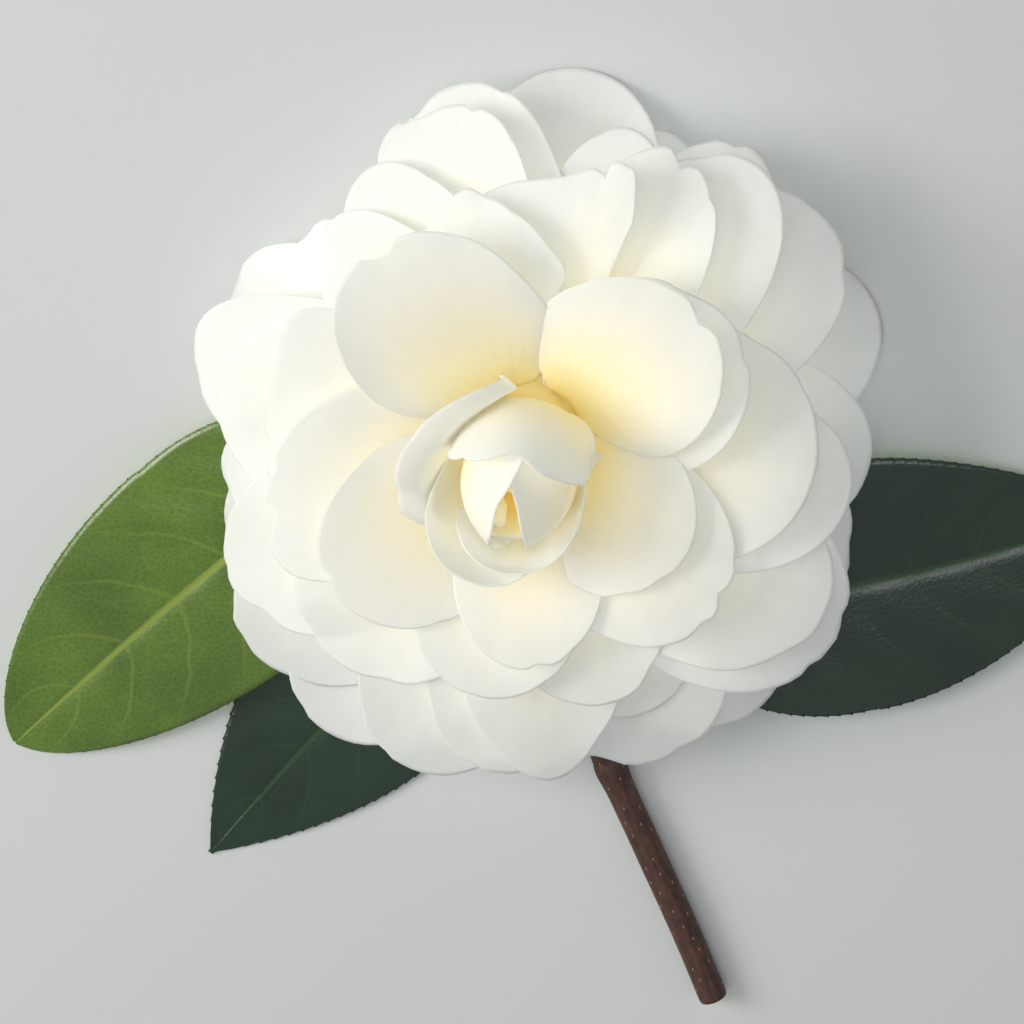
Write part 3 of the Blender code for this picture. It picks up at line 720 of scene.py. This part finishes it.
def plain_finish(name, code, roughness):
    """A finish whose colour varies only a little, for small or hidden places."""
    finish, tree, shader = new_finish(name, {"Roughness": roughness})
    place = add(tree, "ShaderNodeTexCoord").outputs["Object"]
    speckle = add(tree, NOISE, {"Vector": place, "Scale": 1 / (0.5 * MM), "Detail": 3.0})
    tint = add(tree, "ShaderNodeValToRGB", {"Fac": speckle})
    set_ramp(tint, (0.0, [0.72 * c for c in linear(code)]), (1.0, linear(code)))
    feed(tree, shader, {"Base Color": tint})
    return finish


class CAMELLIA_OT_twig(bpy.types.Operator):
    """Build the cut twig, its swollen joints, its pores and the pedicel under the bloom"""
    bl_idname = "camellia.twig"
    bl_label = "Twig"

    def execute(self, context):
        sizes = context.scene.camellia_sizes
        route = smooth_route([(x, y, TWIG_RADIUS) for x, y in TWIG_ROUTE], TWIG_STEPS)
        share = np.linspace(0, 1, TWIG_STEPS + 1)
        radii = TWIG_RADIUS * np.ones(TWIG_STEPS + 1)
        for where, swelling in TWIG_JOINTS:
            radii += swelling * np.exp(-((share - where) / TWIG_JOINT_LENGTH) ** 2)
            radii -= SCAR_DEPTH * np.exp(-((share - where + 0.012) / 0.004) ** 2)
        route[:, 2] = radii
        radii[0] *= 0.86
        radii[-1] *= 0.97
        turns = np.tile(np.arange(TWIG_SIDES) / TWIG_SIDES, TWIG_STEPS + 1)
        twig = ringed_mesh("twig_bark", tube_rings(route, radii, TWIG_SIDES),
                           {"along": np.append(np.repeat(share, TWIG_SIDES), (0, 1)),
                            "around": np.append(turns, (0, 0))})
        grain = twig.data.attributes.new("grain", "FLOAT_VECTOR", "POINT")
        ahead = np.gradient(route, axis=0)
        grain.data.foreach_set("vector", np.concatenate(
            [np.repeat(ahead, TWIG_SIDES, 0), ahead[:1], ahead[-1:]]).astype("f4").ravel())
        bark = bark_finish(context.scene.camellia_colours)
        twig.data.materials.append(bark)
        twig.data.materials.append(plain_finish("fresh cut wood", "#D9C79A", 0.8))
        for face in twig.data.polygons[-TWIG_SIDES:]:
            face.material_index = 1
            face.use_smooth = False
        pores = grown("twig_lenticels", placed(twig.copy()),
                      lenticel_tree(plain_finish("corky lenticel", "#8A6A52", 0.85)),
                      {"Length": sizes.lenticel, "Spacing": sizes.lenticel_spacing, "Seed": 5})
        seat = turned_mesh("pedicel", PEDICEL, SEAT_SIDES, bark, along=0.02, around=0.0)
        finished(twig, "bark", "twig")
        finished(pores, "bark")
        finished(seat, "bark")
        return {"FINISHED"}


# -------- leaves
def leaf_outline(habit, t):
    """Midrib points, the direction across it, half width and height at shares of its length."""
    start, bend, end = (np.array(point, float) for point in habit["midrib"])
    base, crown, tip = habit["heights"]
    s = t[:, None]
    midrib = (1 - s) ** 2 * start + 2 * s * (1 - s) * bend + s**2 * end
    ahead = np.gradient(midrib, axis=0)
    ahead /= np.linalg.norm(ahead, axis=1, keepdims=True)
    aside = np.stack([-ahead[:, 1], ahead[:, 0]], -1)
    widest = habit["width"] / 2
    half = widest * np.sin(math.pi * t**0.92) ** 0.85 * (1 - LEAF_TAPER * t**5)
    half = np.where(t > 0.5, np.maximum(half, widest * (4 * t * (1 - t)) ** habit["blunt"]), half)
    half = np.maximum(half, LEAST_HALF_WIDTH)
    height = base * (1 - t) ** 2 + 2 * t * (1 - t) * (2 * crown - (base + tip) / 2) + tip * t**2
    return midrib, aside, half, height


def leaf_blade(name, habit, sizes):
    """A closed leaf blade: toothed margin, sunken midrib and side veins, bulges between them."""
    t = np.linspace(0, 1, LEAF_ROWS + 1)
    midrib, aside, half, height = leaf_outline(habit, t)
    tooth = (t * TEETH_A_SIDE) % 1
    reach = sizes.tooth / MM * habit["teeth"] * np.clip(6 * t, 0, 1) * np.clip(12 * (1 - t), 0, 1)
    spread = np.linspace(-1, 1, LEAF_COLUMNS + 1)
    spread = np.sign(spread) * np.abs(spread) ** 1.15
    a = np.abs(spread)[None, :]
    wide = spread[None, :] * half[:, None]
    wide = wide + np.sign(spread)[None, :] * a**12 * (reach * tooth**2)[:, None]
    lift = habit["fold"] * np.abs(wide) * (1 - np.abs(wide) / habit["width"])
    phase = (t[:, None] - VEIN_SWEEP * a**1.4) * VEIN_PAIRS
    fade = np.sin(math.pi * np.clip(t, 0, 1))[:, None] * a**0.4 * (1 - a**3)
    quilted = sizes.leaf_quilting / MM * fade * (0.5 - 0.5 * np.cos(math.tau * phase))
    groove = np.exp(-(wide / GROOVE_HALF_WIDTH) ** 2) * np.clip(8 * (1 - t), 0, 1)[:, None]
    wave = WAVE * a**2 * np.sin(9 * t[:, None] + 1.3 * np.sign(spread)[None, :])
    thick = sizes.leaf_thickness / MM
    floor = thick / 2 + 0.05
    z = np.maximum(height[:, None] + lift
                   + (quilted - GROOVE_DEPTH * groove + wave) * 0.8, floor)
    points = np.concatenate([midrib[:, None] + aside[:, None] * wide[..., None],
                             z[..., None]], -1)
    down, over = np.gradient(points, axis=0), np.gradient(points, axis=1)
    normal = np.cross(down, over)
    normal /= np.linalg.norm(normal, axis=-1, keepdims=True)
    normal *= np.sign(normal[..., 2:])
    edge = (1 - 0.5 * a**8) * thick / 2
    upper, lower = points + normal * edge[..., None], points - normal * edge[..., None]
    grid = LEAF_ROWS + 1, LEAF_COLUMNS + 1
    at = np.arange(math.prod(grid)).reshape(grid)
    faces = [list(reversed(face)) for face in sheet_faces(*grid)]
    faces += sheet_faces(*grid, at.size)
    around = [*at[0, :], *at[1:, -1], *at[-1, -2::-1], *at[-2:0:-1, 0]]
    faces += [(int(b), int(a), int(a) + at.size, int(b) + at.size)
              for a, b in zip(around, around[1:] + around[:1])]
    shape = np.ones(grid)
    tip_here = (tooth > 0.85) & (reach > 0.1 * habit["teeth"])
    tips = np.zeros_like(shape)
    first = tip_here & ~np.roll(tip_here, -1)
    tips[first, 0] = tips[first, -1] = 1
    numbers = {"along": [t[:, None] * shape] * 2, "across": [spread[None, :] * shape] * 2,
               "upper": [shape, 0 * shape], "tooth": [tips, 0 * shape]}
    numbers = {key: np.stack(values) for key, values in numbers.items()}
    blade = mesh_object(name, np.concatenate([upper.reshape(-1, 3), lower.reshape(-1, 3)]),
                        faces, numbers)
    blade.data.shade_smooth()
    return blade


def petiole(name, habit):
    """The leaf's stalk, from the twig to beneath the start of its midrib."""
    t = np.linspace(0, 1, 30)
    midrib, _, _, height = leaf_outline(habit, t)
    route = [(*point, PETIOLE_HEIGHT) for point in habit["petiole"]]
    route += [(*midrib[0], habit["heights"][0]), (*midrib[3], height[3] - 0.15)]
    radii = 1.0 - 0.35 * np.linspace(0, 1, PETIOLE_STEPS + 1) ** 3
    return ringed_mesh(name, tube_rings(smooth_route(route, PETIOLE_STEPS), radii,
                                        PETIOLE_SIDES))


def leaf_finish(name, blade_colour, vein_colour, under_code, roughness):
    """Camellia leaf: thick flesh under a hard wax coat, so it shines sharply and its veins show
    as pale lines in shallow grooves. The underside is paler and duller."""
    finish, tree, shader = new_finish(name, {"IOR": 1.45, "Coat Weight": 0.7,
                                             "Coat Roughness": 0.27})
    along, across, upper = (
        add(tree, "ShaderNodeAttribute", attribute_name=kept).outputs["Fac"]
        for kept in ("along", "across", "upper"))
    place = add(tree, "ShaderNodeTexCoord").outputs["Object"]

    # Side veins leave the midrib forwards and bend up along the margin.
    out = add(tree, MATH, (across,), "ABSOLUTE")
    bent = add(tree, MATH, (out, 1.4), "POWER")
    swept = add(tree, MATH, (bent, -VEIN_SWEEP, along), "MULTIPLY_ADD")
    sway = add(tree, NOISE, {"Vector": place, "Scale": 1 / (9 * MM), "Detail": 2.0})
    unsure = add(tree, MATH, (sway, 0.03, swept), "MULTIPLY_ADD")
    phase = add(tree, MATH, (unsure, 2.0 * VEIN_PAIRS), "MULTIPLY")
    comb = add(tree, MATH, (phase, 1.0), "PINGPONG")
    line = add(tree, RANGE, (comb, 0.0, 0.11, 0.3, 0.0), interpolation_type="SMOOTHSTEP")
    inside = add(tree, RANGE, (out, 0.55, 0.95, 1.0, 0.0))
    side_vein = add(tree, MATH, (line, inside), "MULTIPLY")
    rib = add(tree, RANGE, (out, 0.012, 0.05, 1.0, 0.0), interpolation_type="SMOOTHSTEP")
    vein = add(tree, MATH, (side_vein, rib), "MAXIMUM")

    # Flesh: cells 0.6 mm across between the smallest veins, and broad soft patches.
    net = add(tree, "ShaderNodeTexVoronoi", {
        "Vector": place, "Scale": 1 / (0.9 * MM)}, feature="DISTANCE_TO_EDGE")
    patches = add(tree, NOISE, {"Vector": place, "Scale": 1 / (14 * MM), "Detail": 4.0})
    tone = add(tree, RANGE, (patches, 0.3, 0.7, 0.78, 1.22))
    mesh_of_veins = add(tree, RANGE, (net, 0.0, 0.12, 1.3, 1.0))
    netted = add(tree, MATH, (tone, mesh_of_veins), "MULTIPLY")
    flesh = add(tree, VECTOR_MATH, {0: tuple(blade_colour), "Scale": netted}, "SCALE")
    top = add(tree, "ShaderNodeMix", {0: vein, 6: flesh, 7: (*vein_colour, 1)}, data_type="RGBA")
    whole = add(tree, "ShaderNodeMix", {
        0: upper, 6: (*linear(under_code), 1), 7: top.outputs[2]}, data_type="RGBA")
    dull = add(tree, RANGE, (upper, 0.0, 1.0, 0.6, roughness))

    # Relief: the net is 0.06 mm deep and the veins sink in the upper face.
    fine = add(tree, RANGE, (net, 0.0, 0.3, 0.0, 0.35))
    sunk = add(tree, MATH, (vein, -1.0, fine), "MULTIPLY_ADD")
    bump = add(tree, "ShaderNodeBump", {"Height": sunk, "Strength": 0.6, "Distance": 0.12 * MM})
    feed(tree, shader, {"Base Color": whole.outputs[2], "Roughness": dull, "Normal": bump})
    through = add(tree, "ShaderNodeBsdfTranslucent", {"Color": whole.outputs[2]})
    both = add(tree, "ShaderNodeMixShader", (0.12, shader, through))
    feed(tree, tree.nodes["Material Output"], {"Surface": both})
    return finish


def tooth_tip_tree(finish):
    """The hard dark tip that each tooth of the margin ends in."""
    tree, given, result = geometry_tree("Tooth tips", {"Radius": "DISTANCE", "Seed": "INT"})
    marked = add(tree, "GeometryNodeInputNamedAttribute", {"Name": "tooth"})
    chosen = add(tree, MATH, (marked, 0.5), "GREATER_THAN")
    tips = add(tree, "GeometryNodeMeshToPoints", {"Mesh": given["Geometry"], "Selection": chosen})
    bead = add(tree, "GeometryNodeMeshIcoSphere", {"Radius": 1.0, "Subdivisions": 2})
    size = add(tree, "FunctionNodeRandomValue", {
        2: 0.75, 3: 1.15, "Seed": given["Seed"]}, data_type="FLOAT")
    scaled = add(tree, MATH, (size.outputs[1], given["Radius"]), "MULTIPLY")
    beads = add(tree, "GeometryNodeInstanceOnPoints", {
        "Points": tips, "Instance": bead, "Scale": scaled})
    return ended(tree, beads, finish, result)


class CAMELLIA_OT_leaves(bpy.types.Operator):
    """Build the three leaves with their toothed margins, veins and stalks"""
    bl_idname = "camellia.leaves"
    bl_label = "Leaves"

    def execute(self, context):
        sizes = context.scene.camellia_sizes
        colours = context.scene.camellia_colours
        finishes = {
            "leaf_green": leaf_finish("waxy mature leaf", colours.leaf_green,
                                      colours.leaf_vein, "#5E7440", 0.26),
            "leaf_yellow_green": leaf_finish("waxy young leaf", colours.young_green,
                                             colours.young_vein, "#8A9A48", 0.3),
        }
        stalk_finish = plain_finish("leaf stalk skin", "#7E8A3C", 0.4)
        tree = tooth_tip_tree(plain_finish("hard tooth tip", "#3E3A1E", 0.5))
        for name, habit in LEAVES.items():
            blade = leaf_blade(name + "_blade", habit, sizes)
            blade.data.materials.append(finishes[habit["slot"]])
            tips = grown(name + "_teeth", placed(blade.copy()), tree,
                         {"Radius": TOOTH_TIP_RADIUS * MM, "Seed": 2})
            stalk = petiole(name + "_stalk", habit)
            stalk.data.materials.append(stalk_finish)
            finished(blade, habit["slot"], name)
            finished(tips, habit["slot"])
            finished(stalk, habit["slot"])
        return {"FINISHED"}


# -------- stage
def soft_light(name, place, size, power, code):
    """A square soft light at a place, aimed at the bloom, in millimetres."""
    lamp = bpy.data.lights.new(name, "AREA")
    lamp.shape = "SQUARE"
    lamp.size = size * MM
    lamp.energy = power
    lamp.color = linear(code)
    made = placed(bpy.data.objects.new(name, lamp))
    made.location = Vector(place) * MM
    ahead = Vector(LIT_POINT) - Vector(place)
    made.rotation_euler = ahead.to_track_quat("-Z", "Y").to_euler()


class CAMELLIA_OT_stage(bpy.types.Operator):
    """Set a plain pale floor, soft studio light and the camera"""
    bl_idname = "camellia.stage"
    bl_label = "Stage"

    def execute(self, context):
        scene = context.scene
        corners = ((-1, -1), (1, -1), (1, 1), (-1, 1))
        floor = mesh_object("floor", [(x * FLOOR_HALF_SIDE, y * FLOOR_HALF_SIDE, -FLOOR_DROP)
                                      for x, y in corners], [(0, 1, 2, 3)])
        paper, _, _ = new_finish("matt paper", {"Base Color": (*linear("#B9BBB8"), 1),
                                                "Roughness": 0.9})
        floor.data.materials.append(paper)

        for light in LIGHTS:
            soft_light(*light)
        world = bpy.data.worlds.new("soft room")
        world.use_nodes = True
        feed(world.node_tree, world.node_tree.nodes["Background"],
             {"Color": (*linear("#E4E9EE"), 1), "Strength": 0.5})
        scene.world = world
        scene.view_settings.view_transform = "Standard"
        # Light is passed on many times between petals: the first bounces are followed, and what
        # comes after them is taken from the room's own light.
        scene.cycles.diffuse_bounces = 6
        scene.cycles.use_fast_gi = True
        scene.cycles.fast_gi_method = "REPLACE"
        scene.cycles.ao_bounces_render = 2
        world.light_settings.ao_factor = 4.0
        world.light_settings.distance = 1.5 * MM

        lens = bpy.data.cameras.new("camera")
        lens.lens = SENSOR * CAMERA_FAR / CAMERA_SEES
        lens.sensor_width = SENSOR
        lens.clip_start = 0.01
        camera = placed(bpy.data.objects.new("camera", lens))
        back = Vector(CAMERA_SIDE).normalized()
        up = (Vector((0, 1, 0)) - back.y * back).normalized()
        right = up.cross(back)
        turn = Matrix((right, up, back)).transposed().to_4x4()
        place = Vector(CAMERA_AIM) * MM + back * CAMERA_FAR * MM
        camera.matrix_world = Matrix.Translation(place) @ turn
        scene.camera = camera
        return {"FINISHED"}


# -------- add-on
OPERATORS = (CAMELLIA_OT_bloom, CAMELLIA_OT_calyx, CAMELLIA_OT_twig, CAMELLIA_OT_leaves,
             CAMELLIA_OT_stage)


class CAMELLIA_PT_sidebar(bpy.types.Panel):
    bl_idname = "CAMELLIA_PT_sidebar"
    bl_label = "Camellia flower"
    bl_space_type = "VIEW_3D"
    bl_region_type = "UI"
    bl_category = "Camellia"

    def draw(self, context):
        for group in (context.scene.camellia_sizes, context.scene.camellia_colours):
            box = self.layout.box()
            for name in group.__annotations__:
                box.prop(group, name)
        for operator in OPERATORS:
            self.layout.operator(operator.bl_idname)


CLASSES = (CamelliaSizes, CamelliaColours, *OPERATORS, CAMELLIA_PT_sidebar)


def register():
    for one in CLASSES:
        bpy.utils.register_class(one)
    bpy.types.Scene.camellia_sizes = bpy.props.PointerProperty(type=CamelliaSizes)
    bpy.types.Scene.camellia_colours = bpy.props.PointerProperty(type=CamelliaColours)


def unregister():
    del bpy.types.Scene.camellia_colours
    del bpy.types.Scene.camellia_sizes
    for one in reversed(CLASSES):
        bpy.utils.unregister_class(one)


def main():
    register()
    bpy.ops.camellia.bloom()
    bpy.ops.camellia.calyx()
    bpy.ops.camellia.twig()
    bpy.ops.camellia.leaves()
    bpy.ops.camellia.stage()


if __name__ == "__main__":
    main()
